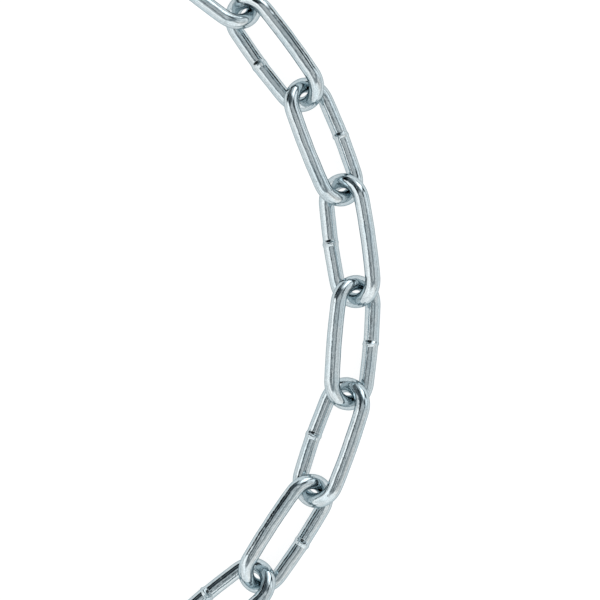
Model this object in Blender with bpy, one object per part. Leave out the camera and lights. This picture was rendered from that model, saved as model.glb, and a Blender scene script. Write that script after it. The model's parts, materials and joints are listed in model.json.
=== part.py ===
"""A length of long-link welded steel chain, lying loose on a level floor in an open C.

Every link is one closed ring of round wire: two almost straight legs joined by two round
crowns, butt-welded in the middle of one leg, where a small ring of flash stands proud. Each
link passes through the next, and they lie rolled 38 degrees, alternately to the left and to
the right of the chain's run, each with its welded leg on the floor.

Metres, +Z up. The origin is on the floor, under the middle of the chain's bounding box.
"""

import math

import bpy
from mathutils import Vector

# The link
WIRE_D = 0.0050  # diameter of the wire
INNER_LENGTH = 0.0340  # inside length, which is what one link adds to a taut chain
INNER_WIDTH = 0.00942  # inside width where the legs meet the crowns
CROWN_ASPECT = 0.98  # a crown's length along the link over half its width: almost round
PLAIN_BOW = 0.00037  # how far the plain leg swells outwards at its middle
WELD_BOW = 0.00048  # how far the welded leg is pushed out at its weld
FLASH = 1.06  # radius of the flash over the wire's
FLASH_REACH = 0.0011  # from the weld's middle to where the flash has died out
CROWN_STEPS = 10  # straight pieces in each crown

# The chain
LINKS = 30
SLACK = 0.00084  # gap between two crowns as the chain lies loose
ROLL = math.radians(38)
MIDDLE = 15  # the link that carries all the others

# The run, in degrees. Eight links bend most, and each end of that bend straightens out.
BEND_STARTS = 12  # first link of the bend
BEND_HEADING = -38.4  # its heading, from +X
BEND_TURNS = (-15.1, -15.2, -13.3, -12.6, -14.9, -13.6, -17.3)
RUN_OUT_FROM = -14.0  # turn of the first joint past either end of the bend
RUN_OUT_TO = -1.8  # turn that the joints settle to
RUN_OUT_LINKS = 2.1  # how fast they settle
WANDER = 1.7  # how far each link strays from that smooth run


def clear_scene():
    for obj in list(bpy.data.objects):
        bpy.data.objects.remove(obj, do_unlink=True)


def link_points():
    """(u, v, radius factor) around the wire's centre line. u runs along the link and v across
    it, with the plain leg at +v and the welded leg at -v."""
    across = (INNER_WIDTH + WIRE_D) / 2
    along = across * CROWN_ASPECT
    leg = (INNER_LENGTH + WIRE_D) / 2 - along  # half of a leg
    crown = [math.pi * (i / CROWN_STEPS - 0.5) for i in range(CROWN_STEPS + 1)]
    points = [(leg + along * math.cos(a), across * math.sin(a), 1.0) for a in crown]
    for u in (leg / 2, 0.0, -leg / 2):
        points.append((u, across + PLAIN_BOW * (1 - (u / leg) ** 2), 1.0))
    points += [(-leg - along * math.cos(a), -across * math.sin(a), 1.0) for a in crown]
    for u, radius in (
        (-leg / 2, 1.0),
        (-FLASH_REACH, 1.0),
        (0.0, FLASH),
        (FLASH_REACH, 1.0),
        (leg / 2, 1.0),
    ):
        points.append((u, -across - WELD_BOW * (1 - abs(u / leg) ** 1.3), radius))
    return points


def link_curve(material):
    curve = bpy.data.curves.new("link_wire", "CURVE")
    curve.dimensions = "3D"
    curve.bevel_depth = WIRE_D / 2
    curve.bevel_resolution = 2
    points = link_points()
    spline = curve.splines.new("POLY")
    spline.points.add(len(points) - 1)
    for point, (u, v, radius) in zip(spline.points, points):
        point.co = (u, v, 0.0, 1.0)
        point.radius = radius
    spline.use_cyclic_u = True
    curve.materials.append(material)
    return curve


def zinc():
    material = bpy.data.materials.new("bright_zinc")
    material.use_nodes = True
    shader = material.node_tree.nodes["Principled BSDF"]
    shader.inputs["Base Color"].default_value = (0.70, 0.73, 0.75, 1.0)
    shader.inputs["Metallic"].default_value = 1.0
    shader.inputs["Roughness"].default_value = 0.24
    material.diffuse_color = (0.70, 0.73, 0.75, 1.0)
    return material


def turns():
    """The turn, in degrees about +Z, from each link to the next one."""

    def run_out(k, phase):
        settled = math.exp(-k / RUN_OUT_LINKS)
        smooth = RUN_OUT_TO + (RUN_OUT_FROM - RUN_OUT_TO) * settled
        return smooth + WANDER * (1 - settled) * math.sin(2.3 * k + phase)

    before = BEND_STARTS - 1
    after = LINKS - 1 - before - len(BEND_TURNS)
    head = [run_out(k, 0.4) for k in range(before)]
    tail = [run_out(k, 2.6) for k in range(after)]
    return head[::-1] + list(BEND_TURNS) + tail


def empty(name, parent, location, collection):
    made = bpy.data.objects.new(name, None)
    made.empty_display_size = WIRE_D
    made.parent = parent
    made.location = location
    collection.objects.link(made)
    return made


def extent(objects):
    """Lowest and highest corner of the objects' surfaces, in world space."""
    bpy.context.view_layer.update()
    graph = bpy.context.evaluated_depsgraph_get()
    low, high = Vector((1e9,) * 3), Vector((-1e9,) * 3)
    for obj in objects:
        evaluated = obj.evaluated_get(graph)
        mesh = evaluated.to_mesh()
        for vertex in mesh.vertices:
            at = evaluated.matrix_world @ vertex.co
            low = Vector(map(min, low, at))
            high = Vector(map(max, high, at))
        evaluated.to_mesh_clear()
    return low, high


def build():
    clear_scene()
    collection = bpy.data.collections.new("long_link_chain")
    bpy.context.scene.collection.children.link(collection)
    curve = link_curve(zinc())

    # Two joints of a link stand this far apart: a crown's two wires meet half-way between
    # their centres, and the slack opens every joint a little.
    reach = INNER_LENGTH - SLACK
    turn = turns()  # turn[n - 1] is from link n to link n + 1
    heading = BEND_HEADING + sum(turn[BEND_STARTS - 1 : MIDDLE - 1])

    base = empty("chain", None, (0.0, 0.0, 0.0), collection)
    base.rotation_euler = (0.0, 0.0, math.radians(heading))
    links = {}

    def add_link(number, parent, centre):
        obj = bpy.data.objects.new(f"link_{number:02d}", curve)
        obj.parent = parent
        obj.location = (centre, 0.0, 0.0)
        # Odd links lean with their plain leg up on the left of the run, even ones on the right.
        obj.rotation_euler = (ROLL if number % 2 else math.pi - ROLL, 0.0, 0.0)
        collection.objects.link(obj)
        links[number] = obj

    add_link(MIDDLE, base, 0.0)
    # Towards the last link: each pivot stands at the joint with the link before.
    parent, at = base, reach / 2
    for number in range(MIDDLE + 1, LINKS + 1):
        pivot = empty(f"pivot_{number:02d}", parent, (at, 0.0, 0.0), collection)
        pivot.rotation_euler = (0.0, 0.0, math.radians(turn[number - 2]))
        add_link(number, pivot, reach / 2)
        parent, at = pivot, reach
    # Towards the first link: each pivot stands at the joint with the link after.
    parent, at = base, -reach / 2
    for number in range(MIDDLE - 1, 0, -1):
        pivot = empty(f"pivot_{number:02d}", parent, (at, 0.0, 0.0), collection)
        pivot.rotation_euler = (0.0, 0.0, -math.radians(turn[number - 1]))
        add_link(number, pivot, -reach / 2)
        parent, at = pivot, -reach

    # The lowest points touch the floor, and the bounding box is centred on the origin.
    low, high = extent(links.values())
    base.location = (-(low.x + high.x) / 2, -(low.y + high.y) / 2, -low.z)
    bpy.context.view_layer.update()


build()
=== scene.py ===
import json
import math

import bpy
import numpy as np
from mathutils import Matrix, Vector

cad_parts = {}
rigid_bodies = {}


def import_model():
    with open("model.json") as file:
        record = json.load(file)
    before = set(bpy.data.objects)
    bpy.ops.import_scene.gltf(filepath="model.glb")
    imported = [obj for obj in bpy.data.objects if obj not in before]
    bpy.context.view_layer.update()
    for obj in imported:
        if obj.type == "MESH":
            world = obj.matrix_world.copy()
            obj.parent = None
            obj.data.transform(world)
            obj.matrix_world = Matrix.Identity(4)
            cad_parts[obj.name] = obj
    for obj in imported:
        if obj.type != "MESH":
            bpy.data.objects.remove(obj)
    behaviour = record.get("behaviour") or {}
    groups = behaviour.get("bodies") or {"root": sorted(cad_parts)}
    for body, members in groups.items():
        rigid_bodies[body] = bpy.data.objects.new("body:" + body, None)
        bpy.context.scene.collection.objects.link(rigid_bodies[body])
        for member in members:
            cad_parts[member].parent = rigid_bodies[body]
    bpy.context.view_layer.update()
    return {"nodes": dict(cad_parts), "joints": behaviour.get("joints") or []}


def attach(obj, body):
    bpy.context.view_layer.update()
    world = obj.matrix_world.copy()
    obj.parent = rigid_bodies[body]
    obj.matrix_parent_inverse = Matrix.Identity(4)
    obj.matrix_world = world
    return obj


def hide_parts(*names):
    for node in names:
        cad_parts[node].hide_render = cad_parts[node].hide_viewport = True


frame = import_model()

# ---------------------------------------------------------------- sizes, in metres
WIRE_R = 0.0025
INNER_LENGTH = 0.0340
INNER_WIDTH = 0.00942
CROWN_ASPECT = 0.98
PLAIN_BOW = 0.00037
WELD_BOW = 0.00048
ROLL = math.radians(38)
SIDES = 52
SEED = 71

ACROSS = INNER_WIDTH / 2 + WIRE_R
ALONG = ACROSS * CROWN_ASPECT
LEG = INNER_LENGTH / 2 + WIRE_R - ALONG


# ---------------------------------------------------------------- the wire's centre line
def centre_line():
    """Points (u, v) a twentieth of a millimetre apart round the link, from the weld to the weld,
    with the plain leg at +v. The bends are eased into the legs, as bent wire does."""
    t = np.linspace(0, 1, 400, endpoint=False)
    right = math.pi * (t - 0.5)
    legs_u = LEG * (1 - 2 * t)
    parts = [
        np.c_[LEG + ALONG * np.cos(right), ACROSS * np.sin(right)],
        np.c_[legs_u, ACROSS + PLAIN_BOW * (1 - (legs_u / LEG) ** 2)],
        np.c_[-LEG - ALONG * np.cos(right), -ACROSS * np.sin(right)],
        np.c_[-legs_u, -ACROSS - WELD_BOW * (1 - np.abs(legs_u / LEG) ** 1.3)],
    ]
    line = np.concatenate(parts)
    # The last part runs through the weld, so the line starts in its middle.
    line = np.roll(line, 200, axis=0)
    step = np.linalg.norm(np.diff(line, axis=0, append=line[:1]), axis=1)
    at = np.concatenate([[0], np.cumsum(step)])
    count = 2048
    even = np.linspace(0, at[-1], count, endpoint=False)
    closed = np.concatenate([line, line[:1]])
    line = np.c_[np.interp(even, at, closed[:, 0]), np.interp(even, at, closed[:, 1])]
    # A blur over about a millimetre, done on the closed line's harmonics
    waves = np.fft.fft(line[:, 0] + 1j * line[:, 1])
    turns = np.fft.fftfreq(count, 1 / count) * 2 * math.pi / at[-1]
    line = np.fft.ifft(waves * np.exp(-0.5 * (turns * 0.00085) ** 2))
    return np.c_[line.real, line.imag], at[-1]


def stations(length):
    """Where the rings stand along the wire: closest at the weld, then in the bends."""
    at = [0.0]
    while at[-1] < length / 2:
        s = at[-1]
        if s < 0.0019:
            step = 0.000075
        elif s < 0.0030:
            step = 0.00018
        elif abs(s - length / 4) < 0.0140:
            step = 0.00040
        else:
            step = 0.00055
        at.append(s + step)
    half = np.array(at) * (length / 2 / at[-1])
    return np.concatenate([half, length - half[-2:0:-1]])


# ---------------------------------------------------------------- one link
def waves(rng, count, low, high):
    """A smooth random function of (s, phi), periodic round the wire, of about unit size."""
    along = rng.uniform(low, high, count) * rng.choice([-1, 1], count)
    turn = rng.integers(0, 4, count)
    phase = rng.uniform(0, 2 * math.pi, count)
    size = rng.uniform(0.5, 1, count)
    size /= math.sqrt((size**2).sum() / 2)

    def value(s, phi):
        total = np.zeros(np.broadcast(s, phi).shape)
        for a, k, p, w in zip(along, turn, phase, size):
            total += w * np.cos(a * s + k * phi + p)
        return total

    return value


def link_mesh(number, line, length):
    """The link's surface round its own centre: u along it, v towards its plain leg, w across its
    plane. Each ring is a circle of the wire, with the weld's flash and the small unevenness of
    bent, tumbled and plated wire."""
    rng = np.random.default_rng(SEED + number)
    s = stations(length)
    rings = len(s)
    index = s / length * len(line)
    low = np.floor(index).astype(int)
    share = (index - low)[:, None]
    closed = np.concatenate([line, line[:2]])
    centre = closed[low] * (1 - share) + closed[low + 1] * share
    ahead = np.roll(line, -6, axis=0) - np.roll(line, 6, axis=0)
    ahead = np.concatenate([ahead, ahead[:2]])
    along = ahead[low] * (1 - share) + ahead[low + 1] * share
    along /= np.linalg.norm(along, axis=1)[:, None]
    outward = np.c_[along[:, 1], -along[:, 0]]  # away from the link's middle

    phi = np.linspace(0, 2 * math.pi, SIDES, endpoint=False)
    S, P = np.meshgrid(s, phi, indexing="ij")
    near = np.where(S > length / 2, S - length, S)  # from the weld, with its sign

    # The weld. The two ends of the wire meet with a small step between them. The flash stands
    # highest on the upper face, where it isn't trimmed, and the end before it is sheared back.
    upper = (ROLL if number % 2 else math.pi - ROLL) + math.pi / 2
    turn = (P - upper + math.pi) % (2 * math.pi) - math.pi  # from the upper face, + to the left
    lean = waves(rng, 4, 0, 1)
    rim = waves(rng, 5, 0, 1)
    ridge = rng.uniform(-0.00010, 0.00010) + 0.00013 * lean(0 * S, P)
    side = rng.choice([-1.0, 1.0])
    height = 0.00013 + 0.00001 * np.tanh(rim(0 * S, P))
    height += rng.uniform(0.00025, 0.00032) * np.clip(np.cos(turn * 0.9), 0, 1) ** 1.5
    height += 0.00008 * np.clip(np.cos(turn - side * 1.45), 0, 1) ** 2
    offset = near - ridge
    width = np.where(offset < 0, 0.00105, rng.uniform(0.00105, 0.00130))
    bead = height * (0.5 + 0.5 * np.cos(math.pi * np.clip(offset / width, -1, 1)))
    seam = -0.000030 * np.exp(-(((offset - 0.00042) / 0.00011) ** 2)) * np.clip(np.cos(turn), 0, 1)
    shear = -rng.uniform(0.00130, 0.00150)
    sunk = rng.uniform(0.00028, 0.00042) * np.exp(-(np.abs((turn + rng.uniform(0.05, 0.30)) / 0.70) ** 4))
    back = (near - shear - 0.00007 * rim(0 * S, P)) / 0.00110
    notch = -sunk * np.clip(back / 0.10, 0, 1) * np.clip(1 - back, 0, 1) ** 0.8
    # Painted shade lies in the notch, mostly towards its right: this mask, named scale, says where it goes.
    scale = np.clip(back / 0.06, 0, 1) * np.clip((0.95 - back) / 0.30, 0, 1)
    scale *= np.clip(1.25 - np.abs(turn + rng.uniform(0.16, 0.34)) / rng.uniform(0.34, 0.46), 0, 1)
    scale *= rng.uniform(0.75, 1.0)
    bead = bead + seam + notch
    # A burr stands on the right of the notch.
    lip = np.exp(-(((near - shear - 0.00045) / 0.00032) ** 2) - ((turn + 0.80) / 0.30) ** 2)
    burr = rng.uniform(0.00008, 0.00020) * lip
    step_left, step_up = rng.choice([-1.0, 1.0]) * rng.uniform(0.00006, 0.00015), rng.uniform(-0.00004, 0.00004)

    # The wire: slightly flattened in the bends, and never quite even
    bend = np.clip(1 - np.abs(np.abs(near) - length / 4) / 0.012, 0, 1)
    bend = bend * bend * (3 - 2 * bend)
    oval = -0.00003 * bend * np.cos(2 * P)
    slow = waves(rng, 7, 150, 900)
    quick = waves(rng, 9, 900, 2600)
    uneven = 0.000012 * slow(S, P) + 0.0000045 * quick(S, P)
    fade = np.clip((length / 2 - np.abs(length / 2 - S)) / 0.002, 0, 1)
    radius = WIRE_R - 0.00002 + bead + burr + oval + uneven * fade

    points = np.empty((rings, SIDES, 3))
    for axis in range(2):
        points[:, :, axis] = centre[:, axis, None] + radius * np.cos(P) * outward[:, axis, None]
    points[:, :, 2] = radius * np.sin(P)
    # The step at the weld dies out along the link.
    share = 0.5 * np.tanh(near / 0.00012) * (1 - np.abs(near) / (length / 2)) ** 2
    roll = upper - math.pi / 2
    points[:, :, 1] += share * (step_left * math.cos(roll) + step_up * math.sin(roll))
    points[:, :, 2] += share * (step_up * math.cos(roll) - step_left * math.sin(roll))
    return s, phi, points, scale


def placed(points, number, middle, heading):
    """From the link's own axes to where it lies. Odd links lean with their plain leg up on the
    left of the run, even ones on the right."""
    roll = ROLL if number % 2 else math.pi - ROLL
    u, v, w = points[..., 0], points[..., 1], points[..., 2]
    left = v * math.cos(roll) - w * math.sin(roll)
    up = v * math.sin(roll) + w * math.cos(roll)
    x = middle[0] + u * math.cos(heading) - left * math.sin(heading)
    y = middle[1] + u * math.sin(heading) + left * math.cos(heading)
    return np.stack([x, y, middle[2] + up], axis=-1)


def joint_points():
    """Where each link meets the next, by the lower number."""
    at = {}
    for joint in frame["joints"]:
        pair = sorted(int(joint[end][-2:]) for end in ("parent", "child"))
        at[pair[0]] = np.array(joint["pos_m"], float)
    return at


def lie_of(number, joints, last):
    """The link's middle and its heading, from its joints. An end link has one joint, and its
    other end is found from its solid's own points."""
    if 1 < number < last:
        a, b = joints[number - 1], joints[number]
        along = b - a
        return (a + b) / 2, math.atan2(along[1], along[0])
    node = frame["nodes"][f"link_{number:02d}"]
    points = np.array([v.co for v in node.data.vertices], float)
    flat = points[:, :2] - points[:, :2].mean(0)
    along = np.linalg.svd(flat, full_matrices=False)[2][0]
    joint = joints[1] if number == 1 else joints[last - 1]
    side = joint[:2] - points[:, :2].mean(0)
    if (along @ side) * (1 if number == 1 else -1) < 0:
        along = -along
    spread = (points[:, :2] - joint[:2]) @ along
    middle = joint[:2] + along * (spread.min() + spread.max()) / 2
    return np.array([middle[0], middle[1], joint[2]]), math.atan2(along[1], along[0])


def build_link(number, line, length, joints, last, material):
    s, phi, local, scale = link_mesh(number, line, length)
    middle, heading = lie_of(number, joints, last)
    points = placed(local, number, middle, heading)
    rings = len(s)
    i, j = np.meshgrid(np.arange(rings), np.arange(SIDES), indexing="ij")
    i, j = i.ravel(), j.ravel()
    i2, j2 = (i + 1) % rings, (j + 1) % SIDES
    corners = np.stack([i * SIDES + j, i2 * SIDES + j, i2 * SIDES + j2, i * SIDES + j2], axis=1)
    # Even links are turned over, which doesn't mirror them, so all faces wind the same way.
    mesh = bpy.data.meshes.new(f"chain_link_{number:02d}")
    mesh.vertices.add(rings * SIDES)
    mesh.vertices.foreach_set("co", points.reshape(-1).astype(np.float32))
    mesh.loops.add(corners.size)
    mesh.loops.foreach_set("vertex_index", corners.reshape(-1).astype(np.int32))
    mesh.polygons.add(len(corners))
    mesh.polygons.foreach_set("loop_start", np.arange(0, corners.size, 4, dtype=np.int32))
    mesh.polygons.foreach_set("use_smooth", np.ones(len(corners), bool))
    mesh.update(calc_edges=True)
    mesh.validate()

    # The wire's own coordinates, in millimetres: along it, and the two across it. Each link has
    # its own stretch, so that no two links have the same marks.
    wire = mesh.attributes.new("wire", "FLOAT_VECTOR", "POINT")
    own = np.empty((rings, SIDES, 3))
    own[:, :, 0] = s[:, None] * 1000 + 130 * number
    own[:, :, 1] = 2.5 * np.cos(phi)[None, :]
    own[:, :, 2] = 2.5 * np.sin(phi)[None, :]
    wire.data.foreach_set("vector", own.reshape(-1).astype(np.float32))

    # The mask of painted shade in the weld's notch
    left = mesh.attributes.new("scale", "FLOAT", "POINT")
    left.data.foreach_set("value", scale.reshape(-1).astype(np.float32))

    # A map in four strips, each a quarter of the wire unrolled
    strip = (i * 4) // rings
    first = -(-strip * rings // 4)
    after = -(-(strip + 1) * rings // 4)
    edge = np.concatenate([s, [length]])
    span = edge[after] - edge[first]
    margin = 0.012
    across = (1 - 8 * margin) / 4
    places = np.empty((len(corners), 4, 2))
    for c, (ring, side) in enumerate(((i, j), (i + 1, j), (i + 1, j + 1), (i, j + 1))):
        places[:, c, 0] = margin + (1 - 2 * margin) * (edge[ring] - edge[first]) / span
        places[:, c, 1] = strip / 4 + margin + across * side / SIDES
    layer = mesh.uv_layers.new(name="OFBake")
    layer.uv.foreach_set("vector", places.reshape(-1).astype(np.float32))

    link = bpy.data.objects.new(f"chain_link_{number:02d}", mesh)
    bpy.context.scene.collection.objects.link(link)
    mesh.materials.append(material)
    return link


# ---------------------------------------------------------------- nodes
class Tree:
    """Short names for adding nodes."""

    def __init__(self, tree):
        self.tree = tree

    def add(self, kind, **settings):
        node = self.tree.nodes.new(kind)
        for name, value in settings.items():
            setattr(node, name, value)
        return node

    def put(self, socket, value):
        if isinstance(value, bpy.types.NodeSocket):
            self.tree.links.new(value, socket)
        else:
            socket.default_value = value

    def math(self, operation, *values, clamp=False):
        node = self.add("ShaderNodeMath", operation=operation, use_clamp=clamp)
        for socket, value in zip(node.inputs, values):
            self.put(socket, value)
        return node.outputs[0]

    def vector(self, operation, first, second):
        node = self.add("ShaderNodeVectorMath", operation=operation)
        self.put(node.inputs[0], first)
        self.put(node.inputs["Scale"] if operation == "SCALE" else node.inputs[1], second)
        return node.outputs[0]

    def ramp(self, value, low, high, to_low=0.0, to_high=1.0, kind="SMOOTHSTEP"):
        node = self.add("ShaderNodeMapRange", interpolation_type=kind)
        for socket, x in zip(node.inputs, (value, low, high, to_low, to_high)):
            self.put(socket, x)
        return node.outputs[0]

    def mix(self, share, a, b):
        node = self.add("ShaderNodeMix", data_type="RGBA")
        self.put(node.inputs["Factor"], share)
        self.put(node.inputs[6], a)
        self.put(node.inputs[7], b)
        return node.outputs[2]

    def blend(self, share, a, b):
        node = self.add("ShaderNodeMix", data_type="FLOAT")
        for socket, x in zip((node.inputs["Factor"], node.inputs[2], node.inputs[3]), (share, a, b)):
            self.put(socket, x)
        return node.outputs[0]

    def noise(self, vector, scale, detail=2.0, roughness=0.5, colour=False):
        node = self.add("ShaderNodeTexNoise", noise_dimensions="3D")
        self.put(node.inputs["Vector"], vector)
        self.put(node.inputs["Scale"], scale)
        self.put(node.inputs["Detail"], detail)
        self.put(node.inputs["Roughness"], roughness)
        return node.outputs[1 if colour else 0]


# ---------------------------------------------------------------- bright zinc plate
def zinc():
    material = bpy.data.materials.new("bright_zinc_plate")
    material.use_nodes = True
    t = Tree(material.node_tree)
    shader = t.tree.nodes["Principled BSDF"]
    wire = t.add("ShaderNodeAttribute", attribute_name="wire").outputs["Vector"]

    # Lines left by the drawing die run along the wire. They are long and thin.
    drawn = t.noise(t.vector("MULTIPLY", wire, (0.10, 4.2, 4.2)), 1.0, 3.0, 0.6)
    # Slow waves of the surface, which make the edges of reflections wander
    wavy = t.noise(t.vector("MULTIPLY", wire, (0.55, 0.9, 0.9)), 1.0, 2.0, 0.5)
    # Patches of thicker and thinner blue passivate
    patch = t.noise(t.vector("MULTIPLY", wire, (0.12, 0.35, 0.35)), 1.0, 2.0, 0.5)
    # Fine grain of the plate
    grain = t.noise(t.vector("MULTIPLY", wire, (7.0, 9.0, 9.0)), 1.0, 2.0, 0.6)
    # Small nicks and knocks from handling
    bent = t.vector("ADD", wire, t.vector("SCALE", t.noise(wire, 1.6, 1.0, 0.5, colour=True), 0.55))
    nick = None
    for spacing, reach, rare in (((0.50, 0.66, 0.66), 0.16, 0.53), ((1.5, 1.9, 1.9), 0.20, 0.55)):
        cells = t.add("ShaderNodeTexVoronoi", voronoi_dimensions="3D", feature="F1")
        t.put(cells.inputs["Vector"], t.vector("MULTIPLY", bent, spacing))
        t.put(cells.inputs["Scale"], 1.0)
        pick = t.noise(t.vector("MULTIPLY", wire, spacing), 0.9, 0.0, 0.5)
        some = t.math("MULTIPLY", t.ramp(cells.outputs["Distance"], reach, reach * 0.4), t.ramp(pick, rare, rare + 0.04))
        nick = some if nick is None else t.math("MAXIMUM", nick, t.math("MULTIPLY", some, 0.6))

    # Near-black painted shade in the weld's notch, where the mask named scale says, and a fine mottle all over
    scale = t.add("ShaderNodeAttribute", attribute_name="scale").outputs["Fac"]
    flecks = t.noise(t.vector("MULTIPLY", wire, (2.6, 3.0, 3.0)), 1.0, 2.0, 0.6)
    scale = t.ramp(t.math("ADD", scale, t.math("MULTIPLY_ADD", flecks, 0.9, -0.45)), 0.38, 0.58)

    blue = t.ramp(patch, 0.38, 0.66)
    colour = t.mix(blue, (0.537, 0.604, 0.630, 1), (0.490, 0.580, 0.618, 1))
    colour = t.mix(t.math("MULTIPLY", t.ramp(drawn, 0.60, 0.78), 0.25), colour, (0.40, 0.43, 0.45, 1))
    colour = t.mix(t.math("MULTIPLY", nick, 0.6), colour, (0.20, 0.22, 0.23, 1))
    colour = t.vector("SCALE", colour, t.ramp(flecks, 0.32, 0.68, 0.85, 1.14, "LINEAR"))
    # The notch's painted shade, near black
    colour = t.mix(t.math("MULTIPLY", scale, 0.93), colour, (0.020, 0.023, 0.026, 1))
    t.put(shader.inputs["Base Color"], colour)
    shader.inputs["Metallic"].default_value = 1.0
    shader.inputs["Specular Tint"].default_value = (0.44, 0.49, 0.51, 1)

    rough = t.math("ADD", t.ramp(grain, 0.3, 0.7, 0.030, 0.055, "LINEAR"), t.ramp(drawn, 0.5, 0.8, 0.0, 0.03))
    t.put(shader.inputs["Roughness"], t.math("ADD", rough, t.math("ADD", t.math("MULTIPLY", nick, 0.30), t.math("MULTIPLY", scale, 0.25))))

    bump = t.add("ShaderNodeBump")
    bump.inputs["Strength"].default_value = 1.0
    bump.inputs["Distance"].default_value = 0.001
    # Heights in millimetres
    height = t.math("MULTIPLY", drawn, 0.0050)
    height = t.math("ADD", height, t.math("MULTIPLY", wavy, 0.046))
    height = t.math("ADD", height, t.math("MULTIPLY", grain, 0.0007))
    height = t.math("ADD", height, t.math("MULTIPLY", flecks, 0.0078))
    height = t.math("SUBTRACT", height, t.math("MULTIPLY", nick, 0.03))
    t.put(bump.inputs["Height"], height)
    t.put(shader.inputs["Normal"], bump.outputs["Normal"])
    return material


# ---------------------------------------------------------------- stage
def floor_material():
    material = bpy.data.materials.new("white_sweep")
    material.use_nodes = True
    shader = material.node_tree.nodes["Principled BSDF"]
    shader.inputs["Base Color"].default_value = (0.27, 0.27, 0.27, 1)
    shader.inputs["Roughness"].default_value = 0.9
    shader.inputs["Specular IOR Level"].default_value = 0.1
    shader.inputs["Emission Color"].default_value = (1, 1, 1, 1)
    shader.inputs["Emission Strength"].default_value = 0.87
    return material


# The studio by direction: where each light or gap stands (degrees from +X), half its width, from
# how far off the zenith to how far, how bright it is, and how soft its sides and its edges are.
LIGHTS = (
    # the side wall on the right and its lower half
    (351, 42, 20, 99, 0.98, 8, 3),
    (330, 9, 31, 52, 0.64, 5, 3),
    (348, 30, 58, 65, 0.82, 8, 2),
    (18, 9, 63, 79, 1.36, 6, 3),
    (315, 13, 64, 76, 1.22, 6, 3),
    (350, 40, 82, 91, 0.60, 8, 4),
    # the wall on the left, brightest under the ceiling
    (200, 50, 38, 55, 1.42, 8, 4),
    (180, 14, 50, 78, 1.32, 5, 4),
    (166, 13, 46, 68, 1.48, 5, 4),
    (286, 24, 34, 90, 1.28, 10, 3),
    (206, 18, 86, 99, 0.72, 5, 4),
    (168, 11, 72, 84, 0.84, 4, 3),
    (222, 14, 72, 80, 1.34, 6, 3),
    # the ceiling over the table, and the rim round it
    (0, 181, -9, 29, 0.75, 1, 5),
    (228, 30, 20, 36, 0.78, 12, 5),
    (298, 62, 16, 30, 0.50, 12, 3),
    (352, 18, 16, 37, 0.46, 9, 3),
    (16, 10, 27, 46, 0.42, 5, 3),
    (310, 34, 6, 14, 0.98, 12, 3),
    (55, 24, 5, 12, 0.55, 12, 3),
    (32, 12, 16, 27, 1.02, 6, 3),
    (150, 11, 10, 17, 0.34, 5, 3),
    (220, 27, 7, 13, 0.08, 8, 2),
    (212, 12, 13, 20, 0.40, 6, 2),
    (255, 16, 11, 19, 0.28, 8, 3),
    (317, 8, 21, 31, 0.38, 4, 3),
    # the far side, which is dim
    (95, 61, 28, 88, 0.30, 5, 4),
    (122, 30, 26, 62, 0.19, 8, 4),
    (61, 8, 28, 40, 0.58, 5, 4),
    (42, 10, 26, 46, 0.36, 7, 4),
    (38, 13, 37, 47, 0.20, 6, 3),
    # its windows
    (70, 19, 47, 82, 2.00, 6, 4),
    (63, 12, 41, 50, 1.20, 5, 4),
    (92, 10, 48, 79, 0.84, 5, 4),
    (31, 12, 53, 81, 1.04, 6, 3),
    (28, 9, 64, 74, 1.40, 6, 3),
    (44, 6, 63, 86, 0.62, 5, 3),
    (68, 14, 84, 92, 0.42, 6, 3),
    # its gaps
    (46, 9, 84.5, 94, 0.003, 3, 2),
    (41, 7, 69, 95, 0.03, 3, 3),
    (39, 7, 34, 47, 0.03, 3, 2),
    (29, 8, 83, 91, 0.40, 5, 3),
    (95, 14, 85, 91, 0.24, 6, 3),
    (113, 13, 78, 85, 0.01, 5, 2),
    (141, 18, 66, 84, 0.002, 3, 2),
    (116, 10, 52, 59, 0.08, 5, 2),
    (151, 13, 29, 45, 0.04, 3, 3),
    (132, 9, 38, 44, 0.01, 5, 2),
    (166, 8, 24, 33, 0.30, 4, 3),
    (166, 7, 33, 38.5, 0.06, 4, 2),
    (167, 8, 39, 44, 0.40, 4, 2),
    (182, 11, 22, 31.5, 0.20, 5, 2),
    (183, 12, 31, 36, 0.42, 5, 2),
    (196, 8, 20, 27.5, 0.27, 5, 2),
    (211, 8, 20, 29, 0.26, 5, 2),
    # the open end of the room
    (90, 12, 82, 99, 1.30, 3, 2),
)


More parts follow.
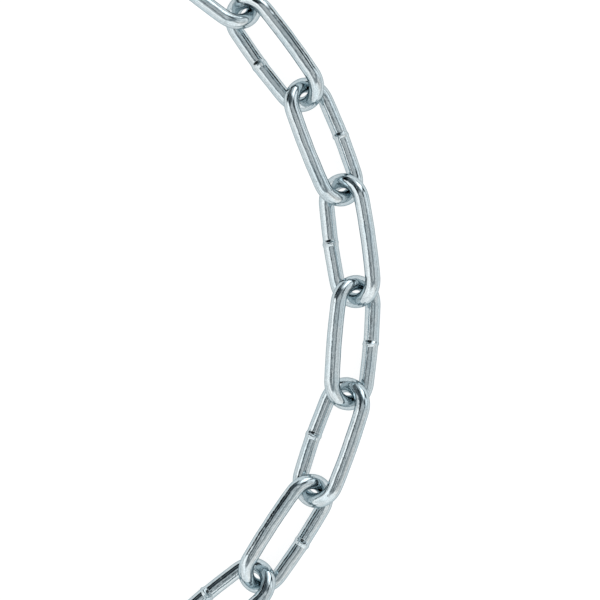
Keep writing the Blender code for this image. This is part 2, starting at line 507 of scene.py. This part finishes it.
def studio():
    """A pale room of soft light, all of it in the world, and a white floor."""
    world = bpy.data.worlds.new("studio")
    bpy.context.scene.world = world
    world.use_nodes = True
    t = Tree(world.node_tree)
    background = t.tree.nodes["Background"]
    apart = t.add("ShaderNodeSeparateXYZ")
    t.put(apart.inputs[0], t.add("ShaderNodeTexCoord").outputs["Generated"])
    x, y, z = apart.outputs
    bearing = t.math("DEGREES", t.math("ARCTAN2", y, x))
    tilt = t.math("DEGREES", t.math("ARCCOSINE", z))

    def away(at):
        """Degrees of bearing from at, up to 180."""
        return t.math("PINGPONG", t.math("SUBTRACT", bearing, at), 180.0)

    def within(value, half, soft):
        return t.math("MULTIPLY_ADD", value, -0.5 / soft, 0.5 * half / soft + 0.5, clamp=True)

    value = 1.10
    for at, half, low, high, bright, soft, edge in LIGHTS:
        off = t.math("ABSOLUTE", t.math("SUBTRACT", tilt, (low + high) / 2))
        share = within(off, (high - low) / 2, edge)
        if half < 180:
            share = t.math("MULTIPLY", share, within(away(at), half, soft))
        value = t.blend(share, value, bright)
    value = t.math("POWER", value, 1.22)
    # What is dim is a little bluer, and so is the wall on the right.
    dim = t.math("MINIMUM", value, 1.0)
    low = within(t.math("SUBTRACT", 90.0, tilt), 52.0, 7.0)
    cool = t.math("MULTIPLY", within(away(60.0), 65.0, 20.0), low)
    warm = t.math("MULTIPLY", within(away(325.0), 25.0, 10.0), low)
    colour = t.add("ShaderNodeCombineXYZ")
    for socket, plain, power, cold, hot in zip(
        colour.inputs, (1.03, 1.01, 1.0), (0.15, 0.05, 0.0), (-0.07, -0.025, 0.0), (0.05, 0.02, 0.0)
    ):
        tint = t.math("MULTIPLY_ADD", warm, hot, t.math("MULTIPLY_ADD", cool, cold, plain))
        if power:
            tint = t.math("MULTIPLY", tint, t.math("POWER", dim, power))
        t.put(socket, t.math("MULTIPLY", tint, value))
    t.put(background.inputs["Color"], colour.outputs[0])
    background.inputs["Strength"].default_value = 1.0

    bpy.ops.mesh.primitive_plane_add(size=40, location=(0, 0, 0))
    floor = bpy.context.object
    floor.name = "floor"
    floor.data.materials.append(floor_material())


def camera():
    data = bpy.data.cameras.new("camera")
    data.sensor_width = 36
    data.lens = 157.1
    data.clip_start, data.clip_end = 0.05, 50
    eye = bpy.data.objects.new("camera", data)
    eye.location = (0.19053, -0.00018, 0.8520)
    bpy.context.scene.collection.objects.link(eye)
    bpy.context.scene.camera = eye
    settings = bpy.context.scene.view_settings
    settings.view_transform = "Standard"
    settings.look = "None"


# ---------------------------------------------------------------- the chain
camera()
studio()
zinc_plate = zinc()
line, length = centre_line()
joints = joint_points()
last = len(joints) + 1
for number in range(1, last + 1):
    link = build_link(number, line, length, joints, last, zinc_plate)
    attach(link, f"link_{number:02d}")
    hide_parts(f"link_{number:02d}")
